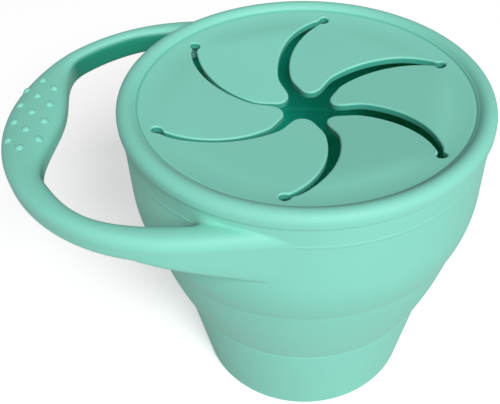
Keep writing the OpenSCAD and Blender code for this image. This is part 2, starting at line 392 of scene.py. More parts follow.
def lathe(outline: Sequence[Point], turns: int = 192) -> tuple[np.ndarray, list[list[int]]]:
    """Turns a closed outline about the cup's axis.

    Args:
        outline: (radius, height) points in order.
        turns: segments round the axis.

    Returns:
        The points in millimetres, and the faces.
    """
    angles = np.arange(turns) * 2 * np.pi / turns
    rings = [
        np.stack([r * np.cos(angles), r * np.sin(angles), np.full(turns, z)], axis=1)
        for r, z in outline
    ]
    count = len(outline)
    faces = []
    for i in range(count):
        j = (i + 1) % count
        if max(outline[i][0], outline[j][0]) < NEARLY_ZERO:
            continue
        for k in range(turns):
            after = (k + 1) % turns
            faces.append([i * turns + k, i * turns + after, j * turns + after, j * turns + k])
    return np.concatenate(rings), faces


def rows_of(points: Sequence[Vector]) -> np.ndarray:
    """The points as the rows of an array."""
    return np.array([p[:] for p in points])


def placed(name: str, data: bpy.types.ID) -> bpy.types.Object:
    """Adds an object to the scene that shows a mesh, a lamp or a camera."""
    made = bpy.data.objects.new(name, data)
    bpy.context.scene.collection.objects.link(made)
    return made


@dataclass
class Maker:
    """Turns points and faces into finished pieces that stand for CAD nodes."""

    finishes: dict[Slot, bpy.types.Material]
    made: list[str] = field(default_factory=list)

    def piece(
        self,
        name: str,
        points: np.ndarray,
        faces: Sequence[Sequence[int]],
        slot: Slot,
        nodes: Sequence[str],
        crease: float = 180.0,
        normals: np.ndarray | None = None,
        ridge: float | None = None,
    ) -> bpy.types.Object:
        """Makes one piece of silicone that stands for CAD nodes.

        Args:
            name: the piece's name.
            points: its points in millimetres.
            faces: its faces as point numbers.
            slot: the record's slot that it takes its finish from.
            nodes: the CAD nodes that it stands for.
            crease: angle in degrees above which an edge stays sharp.
            normals: outward direction at each point, or none to work it out.
            ridge: height in millimetres whose level edges stay sharp, or none.

        Returns:
            The new object, with its normals outward.
        """
        mesh = bpy.data.meshes.new(name)
        mesh.from_pydata((np.asarray(points) * MM).tolist(), [], [list(f) for f in faces])
        shape = placed(name, mesh)
        self.tidy(mesh)
        mesh.shade_smooth()
        if crease < 180:
            mesh.set_sharp_from_angle(angle=math.radians(crease))
        if ridge is not None:
            level = [abs(v.co.z - ridge * MM) < SAME_PLACE for v in mesh.vertices]
            for edge in mesh.edges:
                edge.use_edge_sharp = all(level[n] for n in edge.vertices)
        if normals is not None:
            mesh.normals_split_custom_set_from_vertices(normals.tolist())
        mesh.materials.append(self.finishes[slot])
        if nodes:
            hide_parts(*nodes)
        self.made.append(name)
        stands_for = ", ".join(nodes) or "itself"
        LOG.info("%s: %d faces, stands for %s", name, len(mesh.polygons), stands_for)
        return shape

    @staticmethod
    def tidy(mesh: bpy.types.Mesh) -> None:
        """Joins points that coincide and turns the faces outward.

        Args:
            mesh: the mesh, which is changed.
        """
        work = bmesh.new()
        work.from_mesh(mesh)
        bmesh.ops.remove_doubles(work, verts=work.verts, dist=SAME_PLACE)
        bmesh.ops.recalc_face_normals(work, faces=work.faces)
        work.to_mesh(mesh)
        work.free()


# The cup moulding: base, web, bowl and handle.


@dataclass
class CupShell:
    """The stiff base, the fold web and the stiff bowl of the cup moulding."""

    maker: Maker

    # The base: height, radii, walls and edges.
    base_h: float = 27.9
    base_top_r: float = 34.4
    base_foot_r: float = 29.7
    foot_round: float = 0.8
    base_t: float = 2.2
    floor_t: float = 2.4
    floor_round: float = 2.5
    top_round: float = 0.5
    fold_round: float = 0.35

    # The web between the two folds, and how it is tucked into its neighbours.
    fold_h: float = 52.6
    web_t: float = 1.3
    web_bulge: float = 0.7
    upper_step: float = 0.3
    lower_step: float = 0.05
    web_tuck: float = 0.8
    web_tuck_in: float = 0.3
    web_lap: float = 0.1

    # The bowl: a straight wall over a swell, with a thinner foot at the web.
    bowl_r: float = 44.2
    bowl_t: float = 2.6
    swell_h: float = 66.0
    swell_r: float = 37.2
    swell_rings: int = 18
    shoulder_h: float = 84.2
    shoulder_round: float = 0.3
    inner_shoulder_round: float = 0.15
    thinning: float = 5.4

    # The tongue that the lid's channel grips.
    tongue_h: float = 1.8
    tongue_t: float = 1.6
    tongue_set: float = 0.7
    tongue_flat: float = 0.02

    # The mould's parting line: half width and rise of its rings, and the rings beside it.
    parting_h: float = 78.6
    parting_rings: tuple[Point, ...] = ((0.7, 0.0), (0.22, 0.0), (0.07, 0.07))
    above_swell: float = 1.0
    below_shoulder: float = 0.9

    def bowl_outside(self, z: float, inset: float = 0.0) -> float:
        """Works out the radius of the bowl's wall.

        Args:
            z: height above the table.
            inset: how far inside the wall the radius is wanted.

        Returns:
            The radius at that height.
        """
        if z >= self.swell_h:
            return self.bowl_r - inset
        side = math.sqrt((self.swell_r - inset) ** 2 - (self.swell_h - z) ** 2)
        return self.bowl_r - self.swell_r + side

    def build_base(self) -> None:
        """Turns the base: wall, rounded foot, floor and the proud edge at the fold."""
        slope = (self.base_top_r - self.base_foot_r) / self.base_h
        wall = self.base_t * math.hypot(1, slope)
        inner_foot = self.base_foot_r - wall + self.floor_t * slope
        outline = rounded(
            [
                (0, 0, 0),
                (self.base_foot_r, 0, self.foot_round),
                (self.base_top_r, self.base_h, self.fold_round),
                (self.base_top_r - wall, self.base_h, self.top_round),
                (inner_foot, self.floor_t, self.floor_round),
                (0, self.floor_t, 0),
            ],
            steps=8,
        )
        points, faces = lathe(outline)
        shape = self.maker.piece("base_shell", points, faces, Slot.BASE, ["cup_base"])
        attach(shape, Body.BASE.value)

    def web_side(self, inset: float, steps: int = 28) -> list[Point]:
        """One side of the web from its foot to its head, tucked into its neighbours.

        Args:
            inset: how far the side lies in from the outside.
            steps: straight pieces along the side.

        Returns:
            (radius, height) points from low to high.
        """
        low = Vector((self.base_top_r - self.lower_step, self.base_h))
        top = Vector((self.bowl_outside(self.fold_h) - self.upper_step, self.fold_h))
        along = top - low
        out = Vector((along.y, -along.x)).normalized()
        side = [(low.x - inset - self.web_tuck_in, low.y - self.web_tuck)]
        for i in range(steps + 1):
            t = i / steps
            spot = low + along * t + out * (4 * self.web_bulge * t * (1 - t))
            side.append((spot.x - inset, spot.y))
        side.append((top.x - inset, top.y + self.web_tuck))
        return side

    def build_web(self) -> None:
        """Turns the web that rolls inside out when the bowl is pushed down."""
        outline = self.web_side(0.0) + self.web_side(self.web_t)[::-1]
        points, faces = lathe(outline)
        shape = self.maker.piece("web_skin", points, faces, Slot.WEB, ["fold_web"])
        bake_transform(shape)

    def build_bowl(self) -> None:
        """Turns the bowl: swelling wall, parting line, shoulder, tongue and thinned foot."""
        heights = np.linspace(self.fold_h, self.swell_h, self.swell_rings).tolist()
        outside = [(self.bowl_outside(z), z, 0.0) for z in heights]
        outside[0] = (*outside[0][:2], self.fold_round)
        parting = [
            (self.bowl_r + rise, self.parting_h + side * gap, 0.0)
            for side in (-1, 1)
            for gap, rise in self.parting_rings[::-side]
        ]
        thin = self.web_t + self.upper_step + self.web_lap
        inside = []
        for z in heights[::-1]:
            wall = thin + (self.bowl_t - thin) * smooth((z - self.fold_h) / self.thinning)
            inside.append((self.bowl_outside(z, wall), z, 0.0))
        tongue = self.bowl_r - self.tongue_set
        crest = self.shoulder_h + self.tongue_h
        crown = self.tongue_t / 2 - self.tongue_flat
        outline = rounded(
            outside
            + [(self.bowl_r, self.swell_h + self.above_swell, 0.0)]
            + parting
            + [
                (self.bowl_r, self.shoulder_h - self.below_shoulder, 0.0),
                (self.bowl_r, self.shoulder_h, self.shoulder_round),
                (tongue, self.shoulder_h, 0.0),
                (tongue, crest, crown),
                (tongue - self.tongue_t, crest, crown),
                (tongue - self.tongue_t, self.shoulder_h, 0.0),
                (self.bowl_r - self.bowl_t, self.shoulder_h, self.inner_shoulder_round),
            ]
            + inside
        )
        points, faces = lathe(outline)
        shape = self.maker.piece(
            "bowl_shell", points, faces, Slot.BOWL, ["cup_bowl"], crease=CREASE
        )
        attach(shape, Body.BOWL.value)


@dataclass
class LoopHandle:
    """Loop handle that grows out of the bowl and ends in the dotted grip pad."""

    maker: Maker
    shell: CupShell

    # The plan: an egg-shaped loop with a bowed pad and a fuller front corner.
    reach: float = 72.6
    loop_r: float = 44.4
    arm_y: float = 45.3
    arm_w: float = 4.53
    arm_root_w: float = 6.2
    pad_inner_x: float = 60.6
    pad_bow: float = 6.0
    pad_half: float = 17.0
    pad_blend: float = 24.3
    corner_fill: float = 1.73
    corner_turn: float = 37.4
    corner_span: float = 16.9
    widen_from: float = 60.0
    arm_end_x: float = -3.0
    fade_in: float = 0.15

    # The section: soft above the parting line, crisp below it, deeper at the gusset.
    half_h: float = 3.0
    deeper: float = 0.49
    arm_rise: float = 0.2
    gusset_h: float = 10.8
    gusset_l: float = 34.0
    full_up: float = 2.4
    full_down: float = 7.0
    draft: float = 0.07
    draft_depth: float = 14.0

    # The fillet into the wall: wide in the crotch, hair-thin along the seam elsewhere.
    crotch: float = 3.2
    crotch_from: float = -17.0
    crotch_run: float = 7.0
    crotch_below: float = 0.35
    crotch_top: float = 1.5
    crotch_rise: float = 2.0
    seam: float = 0.3
    seam_end: float = 0.02
    seam_clear: float = 1.0
    seam_run: float = 6.0

    # The strip of wall round the handle, which sinks into the bowl at its edge.
    skin_sunk: float = 0.12
    skin_from: float = 0.8
    skin_run: float = 1.2
    skin_w: float = 3.4

    # The net, with the parting line halfway between two layers of cells.
    cell: Place = (0.55, 0.55, 0.42)
    cells_below: float = 36.5
    net_top: float = 84.0
    net_margin: float = 1.5

    # The dots, turned and moved as the pad is swayed in the photograph.
    sway: float = 2.3
    sway_shift: float = 0.4
    dot_gap: float = 6.9
    dot_row: float = 3.6
    dot_inset: float = 6.4
    dot_r: float = 1.0
    dot_h: float = 0.6
    dot_sunk: float = 0.15
    dot_rings: int = 8
    dot_turns: int = 24

    @property
    def loop_x(self) -> float:
        """Centre of the handle's round end along X."""
        return self.loop_r - self.reach

    def plan(self, x: np.ndarray, y: np.ndarray) -> tuple[np.ndarray, np.ndarray]:
        """Place of plan points across the handle.

        Args:
            x: distances along X in millimetres.
            y: distances along Y in millimetres.

        Returns:
            The distance from the bar's middle line, and half of the bar's width.
        """
        side = np.abs(y)
        angle = np.degrees(np.arctan2(side, self.loop_x - x))
        far = np.minimum(angle, 90)
        outer = self.loop_r + (self.arm_y - self.loop_r) * np.sin(np.radians(far)) ** 2
        widening = smooth((far - self.widen_from) / (90 - self.widen_from))
        width = self.arm_w + (self.arm_root_w - self.arm_w) * widening
        near = np.radians(np.minimum(far, self.widen_from))
        middle = self.pad_inner_x + self.loop_x
        edge = middle + self.pad_bow * (middle * np.tan(near) / self.pad_half) ** 2
        edge = edge / np.cos(near)
        bar = outer - width
        overlap = np.maximum(self.pad_blend - np.abs(bar - edge), 0) / self.pad_blend
        inner = np.minimum(bar, edge) - overlap ** 3 * self.pad_blend / 6
        corner = np.exp(-(((far - self.corner_turn) / self.corner_span) ** 2))
        inner = inner - np.where(y < 0, self.corner_fill * corner, 0)
        radius = np.hypot(x - self.loop_x, side)
        loop_off = radius - (outer + inner) / 2
        loop_half = (outer - inner) / 2
        run = smooth((x - self.loop_x) / (self.arm_end_x - self.loop_x))
        root_outer = self.arm_y - (self.arm_y - self.shell.bowl_r + self.fade_in) * run
        root_off = side - (root_outer - self.arm_root_w / 2)
        straight = x > self.loop_x
        off = np.where(straight, root_off, loop_off)
        half = np.where(straight, self.arm_root_w / 2, loop_half)
        return off, half

    def bar(self, p: np.ndarray) -> np.ndarray:
        """Works out how far points lie from the handle's bar.

        Args:
            p: points in millimetres.

        Returns:
            Each point's distance, negative inside.
        """
        x, y, z = p[..., 0], p[..., 1], p[..., 2] - self.shell.parting_h
        off, half = self.plan(x, y)
        run = smooth((x - self.loop_x) / (self.arm_end_x - self.loop_x))
        up = self.half_h + self.arm_rise * run
        down = self.half_h + self.deeper
        down = down + self.gusset_h * np.maximum(0, 1 - (self.arm_end_x - x) / self.gusset_l)
        tall = np.where(z >= 0, up, down)
        power = np.where(z >= 0, self.full_up, self.full_down)
        half = half - self.draft * np.clip(-z, 0, self.draft_depth)
        u = np.maximum(np.abs(off) / half, NEARLY_ZERO)
        v = np.maximum(np.abs(z) / tall, NEARLY_ZERO)
        level = (u ** power + v ** power) ** (1 / power)
        slope_u = level ** (1 - power) * u ** (power - 1) / half
        slope_v = level ** (1 - power) * v ** (power - 1) / tall
        body = (level - 1) / np.hypot(slope_u, slope_v)
        return np.maximum(body, x - self.arm_end_x)

    def wall(self, p: np.ndarray) -> np.ndarray:
        """Works out how far points lie from the bowl's outside.

        Args:
            p: points in millimetres.

        Returns:
            Each point's distance, negative inside.
        """
        s = self.shell
        z = np.minimum(p[..., 2], s.swell_h)
        side = np.sqrt(s.swell_r ** 2 - (s.swell_h - z) ** 2)
        return np.hypot(p[..., 0], p[..., 1]) - (s.bowl_r - s.swell_r + side)

    def joined(self, p: np.ndarray) -> np.ndarray:
        """Works out how far points lie from bar and wall, filleted where they meet.

        Args:
            p: points in millimetres.

        Returns:
            Each point's distance, negative inside.
        """
        bar = self.bar(p)
        wall = self.wall(p)
        inward = smooth((self.crotch_from - p[..., 0]) / self.crotch_run)
        above = smooth((p[..., 2] - self.shell.parting_h + self.crotch_top) / self.crotch_rise)
        share = self.crotch_below + (1 - self.crotch_below) * above
        fillet = self.seam + (self.crotch - self.seam) * inward * share
        clear = self.arm_end_x - self.seam_clear - p[..., 0]
        fillet = self.seam_end + fillet * smooth(clear / self.seam_run)
        wall = wall + self.skin_sunk * smooth((bar - self.skin_from * fillet) / self.skin_run)
        overlap = np.maximum(fillet - np.abs(bar - wall), 0) / fillet
        return np.minimum(bar, wall) - overlap ** 2 * fillet / 4

    def build(self) -> None:
        """Nets the joined surface, drops the bare wall and adds the dots."""
        step = np.array(self.cell)
        margin = self.net_margin
        below = self.shell.parting_h - self.cells_below * step[2]
        low = np.array([-self.reach - margin, -self.arm_y - margin, below])
        high = np.array([self.arm_end_x + 2 * margin, self.arm_y + margin, self.net_top])
        points, faces = surface_net(self.joined, low, high, step)
        parting = np.abs(points[:, 2] - self.shell.parting_h) < 0.5 * step[2]
        points = settle(self.joined, points)
        points[parting, 2] = self.shell.parting_h
        points[parting] = settle(self.joined, points[parting], level=True)
        near = self.bar(points) < self.skin_w
        keep = near[faces].all(axis=1)
        shape = self.maker.piece(
            "handle_loop",
            points,
            faces[keep].tolist(),
            Slot.HANDLE,
            ["handle_arm_front", "handle_arm_back", "grip_pad"],
            ridge=self.shell.parting_h,
        )
        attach(shape, Body.BOWL.value)
        self.build_dots()

    def build_dots(self) -> None:
        """Raises thirteen dots on the pad, in rows of four, five and four."""
        points: list[np.ndarray] = []
        faces: list[list[int]] = []
        for row in (-1, 0, 1):
            last = 4 if row == 0 else 3
            for i in range(last + 1):
                spot = Vector((self.dot_row * row, self.dot_gap * (i - last / 2)))
                spot.rotate(Matrix.Rotation(math.radians(self.sway), 2))
                x = self.dot_inset - self.reach + spot.x
                dot, dot_faces = self.dot(x, spot.y - self.sway_shift)
                start = sum(len(p) for p in points)
                points.append(dot)
                faces += [[start + n for n in f] for f in dot_faces]
        shape = self.maker.piece("grip_dots", np.concatenate(points), faces, Slot.HANDLE, [])
        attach(shape, Body.BOWL.value)

    def dot(self, x: float, y: float) -> tuple[np.ndarray, list[list[int]]]:
        """One dome on the pad's top.

        Args:
            x: place of the dot along X.
            y: place of the dot along Y.

        Returns:
            Its points in millimetres, and its faces.
        """
        rings, turns = self.dot_rings, self.dot_turns
        ball = (self.dot_r ** 2 + self.dot_h ** 2) / (2 * self.dot_h)
        full = math.acos((ball - self.dot_h - self.dot_sunk) / ball)
        spots = [[x, y]]
        raised = [self.dot_h]
        for ring in range(1, rings + 1):
            lean = full * ring / rings
            r = ball * math.sin(lean)
            for k in range(turns):
                a = 2 * math.pi * k / turns
                spots.append([x + r * math.cos(a), y + r * math.sin(a)])
                raised.append(self.dot_h - ball * (1 - math.cos(lean)))
        plan = np.array(spots)
        off, half = self.plan(plan[:, 0], plan[:, 1])
        across = np.abs(off) / half
        top = self.half_h * (1 - across ** self.full_up) ** (1 / self.full_up)
        points = np.column_stack([plan, self.shell.parting_h + top + np.array(raised)])
        faces = [[0, 1 + k, 1 + (k + 1) % turns] for k in range(turns)]
        for ring in range(rings - 1):
            a, b = 1 + ring * turns, 1 + (ring + 1) * turns
            for k in range(turns):
                n = (k + 1) % turns
                faces.append([a + k, b + k, b + n, a + n])
        return points, faces


def surface_net(
    distance: Callable[[np.ndarray], np.ndarray],
    low: np.ndarray,
    high: np.ndarray,
    step: np.ndarray,
) -> tuple[np.ndarray, np.ndarray]:
    """Nets the zero surface of a distance with one point in each crossed cell.

    Args:
        distance: signed distance of an array of points.
        low: lowest corner of the box that is searched.
        high: highest corner of that box.
        step: cell size along each axis.

    Returns:
        The points, and the faces as rows of four point numbers.
    """
    axes = [np.arange(low[i], high[i] + step[i], step[i]) for i in range(3)]
    grid = np.stack(np.meshgrid(*axes, indexing="ij"), axis=-1)
    value = distance(grid)
    inside = value < 0
    shape = np.array(value.shape) - 1
    total = np.zeros((*shape, 3))
    count = np.zeros(shape)
    for axis in range(3):
        others = [i for i in range(3) if i != axis]
        for a in (0, 1):
            for b in (0, 1):
                first = [slice(0, shape[i]) for i in range(3)]
                first[others[0]] = slice(a, a + shape[others[0]])
                first[others[1]] = slice(b, b + shape[others[1]])
                second = list(first)
                second[axis] = slice(1, 1 + shape[axis])
                one, two = tuple(first), tuple(second)
                cross = inside[one] != inside[two]
                gap = value[one] - value[two]
                share = np.where(cross, value[one] / np.where(gap == 0, 1, gap), 0)
                spot = grid[one] + share[..., None] * (grid[two] - grid[one])
                total += np.where(cross[..., None], spot, 0)
                count += cross
    used = count > 0
    number = np.full(shape, -1)
    number[used] = np.arange(used.sum())
    points = total[used] / count[used][:, None]
    faces = []
    for axis in range(3):
        others = [i for i in range(3) if i != axis]
        core = [slice(1, shape[i]) for i in range(3)]
        core[axis] = slice(0, shape[axis])
        ahead = list(core)
        ahead[axis] = slice(1, shape[axis] + 1)
        cross = inside[tuple(core)] != inside[tuple(ahead)]
        where = np.argwhere(cross)
        where[:, others] += 1
        corners = []
        for a, b in ((0, 0), (1, 0), (1, 1), (0, 1)):
            cell = where.copy()
            cell[:, others[0]] -= a
            cell[:, others[1]] -= b
            corners.append(number[cell[:, 0], cell[:, 1], cell[:, 2]])
        faces.append(np.stack(corners, axis=1))
    return points, np.concatenate(faces)


def settle(
    distance: Callable[[np.ndarray], np.ndarray], points: np.ndarray, level: bool = False
) -> np.ndarray:
    """Moves points along the distance's slope until they lie on its zero surface.

    Args:
        distance: signed distance of an array of points.
        points: points near the surface.
        level: whether the points keep their height.

    Returns:
        The moved points.
    """
    rounds = 5
    probe = 0.02
    least_slope = 0.2
    longest_move = 0.4
    for _ in range(rounds):
        slope = np.stack(
            [
                (distance(points + probe * axis) - distance(points - probe * axis)) / (2 * probe)
                for axis in np.eye(3)
            ],
            axis=1,
        )
        if level:
            slope[:, 2] = 0
        size = np.maximum((slope ** 2).sum(axis=1), least_slope)
        move = -(distance(points) / size)[:, None] * slope
        points = points + np.clip(move, -longest_move, longest_move)
    return points


# The lid moulding: rim, membrane and flaps.


@dataclass
class SwirlLid:
    """Push-on lid: rolled rim, plug skirt and a membrane cut into six flaps."""

    maker: Maker
    shell: CupShell

    # The rolled rim and the shallow groove where it meets the membrane.
    rim_r: float = 45.0
    total_h: float = 87.8
    lip_h: float = 84.25
    lip_round: float = 0.3
    roll_r: float = 2.2
    roll_steps: int = 22
    rim_slope: float = 41.0
    groove_r: float = 40.3
    groove_blend: float = 0.4
    groove_dip: float = 0.08
    groove_set: float = 0.3
    groove_half: float = 0.28
    groove_rings: tuple[float, ...] = (39.4, 39.65, 39.85, 40.0, 40.15, 40.35, 40.6, 40.85)

    # The membrane and the skirt under it.
    membrane_h: float = 85.5
    dish: float = 0.8
    dish_from: float = 33.5
    flap_t: float = 2.0
    skirt_drop: float = 3.8
    skirt_t: float = 1.8
    skirt_round: float = 0.5
    seat_gap: float = 0.3
    throat_round: float = 0.1
    foot_lap: float = 0.2
    foot_in: float = 0.4
    foot_drop: float = 0.6
    shelf_drop: float = 1.0

    # The swirl: keyholes, slits that widen to the middle, and round flap tips.
    flaps: int = 6
    ring: float = 36.8
    hole_r: float = 1.3
    hole_lap: float = 0.9
    turn: float = 21.1
    swirl: float = 2.45
    swirl_power: float = 0.82
    slit_w_end: float = 1.2
    slit_w_tip: float = 3.6
    slit_power: float = 0.8
    tip_ring: float = 9.2
    tip_round: float = 3.0
    tip_lag: float = 6.0
    tip_span: float = 72.0
    neck: float = 3.4

    # How each flap hangs, in degrees beyond its fold line.
    root_r: float = 31.0
    droop: tuple[float, ...] = (7.5, 9.0, 6.0, 4.5, 8.5, 8.0)
    bend: float = 2.5

    # The mesh of a sector: rows beside its rounded edge, and a grid over the rest.
    edge_round: float = 0.5
    edge_rings: tuple[float, ...] = (0.03, 0.09, 0.18, 0.31, 0.5, 0.9, 1.5)
    sector_r: float = 41.1
    sector_steps: int = 30
    skin_sunk: float = 0.02
    skin_run: float = 0.3
    row_share: float = 0.98
    row_slack: float = 0.012
    row_gap: float = 0.02
    row_groove_gap: float = 0.2
    grid_pitch: float = 1.1
    grid_rise: float = 0.866
    grid_count: int = 36
    grid_gap: float = 0.45
    grid_edge_gap: float = 0.4
    grid_groove_gap: float = 0.5

    def rim_face(self, r: np.ndarray | float) -> np.ndarray | float:
        """Works out the straight slope from the rim's crest down to the membrane.

        Args:
            r: distance from the axis.

        Returns:
            The slope's height there.
        """
        a = math.radians(self.rim_slope)
        start_r = self.rim_r - self.roll_r * (1 + math.sin(a))
        start_h = self.total_h - self.roll_r * (1 - math.cos(a))
        return start_h - (start_r - r) * math.tan(a)

    def build_rim(self) -> None:
        """Turns the rolled rim, its channel for the cup's tongue and the skirt."""
        s = self.shell
        roll_x = self.rim_r - self.roll_r
        roll_z = self.total_h - self.roll_r
        top = [
            (roll_x + self.roll_r * math.cos(a), roll_z + self.roll_r * math.sin(a), 0.0)
            for a in np.radians(np.linspace(0, 90 + self.rim_slope, self.roll_steps))
        ]
        plug = s.bowl_r - s.bowl_t - self.seat_gap
        low = self.membrane_h - self.flap_t - self.skirt_drop
        channel_in = s.bowl_r - s.tongue_set - s.tongue_t - self.seat_gap
        channel_out = s.bowl_r - s.tongue_set + self.seat_gap
        channel_top = s.shoulder_h + s.tongue_h + self.seat_gap
        foot_r = self.groove_r + self.foot_lap
        outline = rounded(
            [(self.rim_r, self.lip_h, self.lip_round)]
            + top
            + [
                (foot_r, self.rim_face(foot_r), 0.0),
                (foot_r - self.foot_in, self.membrane_h - self.foot_drop, 0.0),
                (plug - self.skirt_t, self.membrane_h - self.shelf_drop, 0.0),
                (plug - self.skirt_t, low, self.skirt_round),
                (plug, low, self.skirt_round),
                (plug, self.lip_h, 0.0),
                (channel_in, self.lip_h, self.throat_round),
                (channel_in, channel_top, self.skirt_round),
                (channel_out, channel_top, self.skirt_round),
                (channel_out, self.lip_h, self.lip_round),
            ]
        )
        points, faces = lathe(outline)
        shape = self.maker.piece(
            "rolled_rim", points, faces, Slot.LID, ["lid_rim"], crease=CREASE
        )
        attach(shape, Body.LID.value)

    def slit_angle(self, r: float, k: int) -> float:
        """Turn of slit k at a distance from the axis, in radians."""
        swirled = self.swirl * max(0.0, self.ring - r) ** self.swirl_power
        return math.radians(self.turn + 360 / self.flaps * k + swirled)

    def slit_mid(self, r: float, k: int) -> Vector:
        """Middle of slit k at a distance from the axis."""
        return polar(r, self.slit_angle(r, k))

    def slit_side(self, r: float, k: int, side: int) -> Vector:
        """Finds a point on one side of a slit.

        Args:
            r: distance from the axis.
            k: number of the slit.
            side: -1 for the counter-clockwise side, 1 for the clockwise one.

        Returns:
            The point.
        """
        probe = 0.1
        along = (self.slit_mid(r - probe, k) - self.slit_mid(r + probe, k)).normalized()
        run = max(0.0, self.ring - r) / (self.ring - self.tip_ring + self.tip_round)
        width = self.slit_w_end + (self.slit_w_tip - self.slit_w_end) * run ** self.slit_power
        return self.slit_mid(r, k) + Vector((-along.y, along.x)) * (side * width / 2)

    def fold_line(self, k: int) -> tuple[Vector, Vector, Vector]:
        """Fold line of flap k.

        Args:
            k: number of the flap, from 0.

        Returns:
            Its two ends, and its direction inward across the line.
        """
        start = self.slit_side(self.root_r, k, -1)
        end = self.slit_mid(self.ring, k + 1)
        along = (end - start).normalized()
        inward = Vector((-along.y, along.x))
        if inward.dot(-start) < 0:
            inward = -inward
        return start, end, inward

    def hole_arc(self, k: int, side: int, near: float) -> list[Vector]:
        """Half of the round end of slit k, from its outermost point to the slit.

        Args:
            k: number of the slit.
            side: side of the slit that the arc runs to, as for slit_side.
            near: distance from the axis at which the slit begins.

        Returns:
            The points of the arc.
        """
        hole = self.slit_mid(self.ring, k)
        out = math.atan2(hole.y, hole.x)
        leave = self.slit_side(near, k, side) - hole
        span = (-side * (math.atan2(leave.y, leave.x) - out)) % (2 * math.pi) * -side
        steps = 16
        angles = [out + span * i / steps for i in range(steps + 1)]
        return [hole + self.hole_r * polar(1.0, a) for a in angles]

    def free_edge(self, k: int) -> list[Vector]:
        """Free edge of sector k, from one keyhole round the flap to the next.

        Args:
            k: number of the flap, from 0.

        Returns:
            The points of the edge, evenly spaced and eased at the corners.
        """
        near = self.ring - self.hole_lap * self.hole_r
        low = self.tip_ring + self.neck
        steps = 40
        radii = [near + (low - near) * i / steps for i in range(steps + 1)]
        tip = (self.slit_angle(self.tip_ring, k) + self.slit_angle(self.tip_ring, k + 1)) / 2
        tip -= math.radians(self.tip_lag)
        centre = self.tip_ring * polar(1.0, tip)
        span = math.radians(self.tip_span)
        half = 8
        turns = [tip + math.pi + span * (1 - i / half) for i in range(2 * half + 1)]
        flap = [self.slit_side(r, k, -1) for r in radii]
        flap += [centre + self.tip_round * polar(1.0, a) for a in turns]
        flap += [self.slit_side(r, k + 1, 1) for r in radii[::-1]]
        flap = eased(evenly(flap, gap=0.45), rounds=8)
        edge = self.hole_arc(k, -1, near) + flap[1:-1] + self.hole_arc(k + 1, 1, near)[::-1]
        return eased(evenly(edge, gap=0.4), rounds=3)

    def edge_rows(self, edge: list[Vector], border: np.ndarray) -> np.ndarray:
        """Lays rows of points beside a free edge, for its rounding.

        Args:
            edge: the sector's free edge.
            border: the sector's border, of which the edge is a part.

        Returns:
            The points inside the sector that keep clear of its border.
        """
        spots = []
        for d in self.edge_rings:
            for before, here, after in zip(edge, edge[1:], edge[2:]):
                along = (after - before).normalized()
                spots.append(here + Vector((along.y, -along.x)) * d)
        rank = np.repeat(self.edge_rings, len(edge) - 2)
        least = self.row_share * rank - self.row_slack
        gaps = (least, self.row_gap, self.row_groove_gap)
        return self.clear(rows_of(spots), edge, border, gaps)

    def even_grid(self, edge: list[Vector], border: np.ndarray) -> np.ndarray:
        """Lays an even grid of points over the rest of a sector.

        Args:
            edge: the sector's free edge.
            border: the sector's border, of which the edge is a part.

        Returns:
            The points inside the sector that keep clear of its border and rows.
        """
        pitch = self.grid_pitch
        count = range(-self.grid_count, self.grid_count + 1)
        grid = [
            (i * pitch + (j % 2) * pitch / 2, j * pitch * self.grid_rise)
            for j in count
            for i in count
        ]
        least = self.edge_rings[-1] + self.grid_edge_gap
        gaps = (least, self.grid_gap, self.grid_groove_gap)
        return self.clear(np.array(grid), edge, border, gaps)

    def clear(
        self,
        points: np.ndarray,
        edge: list[Vector],
        border: np.ndarray,
        gaps: tuple[np.ndarray | float, float, float],
    ) -> np.ndarray:
        """Keeps the points that lie inside a sector and clear of its lines.

        Args:
            points: plan points.
            edge: the sector's free edge.
            border: the sector's border.
            gaps: least distance from the edge, for all points or for each one, and
                from the border and the groove.

        Returns:
            The points that are kept.
        """
        keep = np.hypot(points[:, 0], points[:, 1]) < self.groove_rings[0] - gaps[2]
        keep &= inside_loop(points, border)
        points, least = points[keep], np.broadcast_to(gaps[0], len(keep))[keep]
        keep = edge_distance(points, rows_of(edge))[0] > least
        keep &= edge_distance(points, np.concatenate([border, border[:1]]))[0] > gaps[1]
        return points[keep]

    def sector_plan(
        self, k: int
    ) -> tuple[np.ndarray, list[list[int]], list[int], np.ndarray, np.ndarray]:
        """Plan of sector k: the flap and the still ring outside it.

        Args:
            k: number of the flap, from 0.

        Returns:
            Plan points, triangles, numbers of the points along the free edge, and
            each point's distance and direction from that edge.
        """
        edge = self.free_edge(k)
        first, last = self.slit_mid(self.ring, k), self.slit_mid(self.ring, k + 1)
        seam = [self.ring + self.hole_r + d for d in self.edge_rings[:-1]]
        seam += self.groove_rings
        start = math.atan2(first.y, first.x)
        sweep = (math.atan2(last.y, last.x) - start) % (2 * math.pi)
        steps = self.sector_steps
        angles = [start + sweep * i / steps for i in range(steps + 1)]
        loop = (
            edge
            + [last.normalized() * r for r in seam]
            + [polar(self.sector_r, a) for a in angles[::-1]]
            + [first.normalized() * r for r in seam[::-1]]
        )
        border = rows_of(loop)
        rings = rows_of([polar(r, a) for r in self.groove_rings for a in angles[1:-1]])
        rows, grid = self.edge_rows(edge, border), self.even_grid(edge, border)
        every = np.concatenate([border, rows, rings, grid])
        count = len(border)
        sides = [(i, (i + 1) % count) for i in range(count)]
        verts, _, faces, origins, *_ = delaunay_2d_cdt(
            [Vector(p) for p in every], sides, [list(range(count))], 1, SAME_SPOT
        )
        plan = rows_of(verts)
        place = {n: i for i, own in enumerate(origins) for n in own}
        rim = [place[n] for n in range(len(edge))]
        distance, outward = edge_distance(plan, rows_of(edge))
        return plan, [list(f) for f in faces], rim, distance, outward

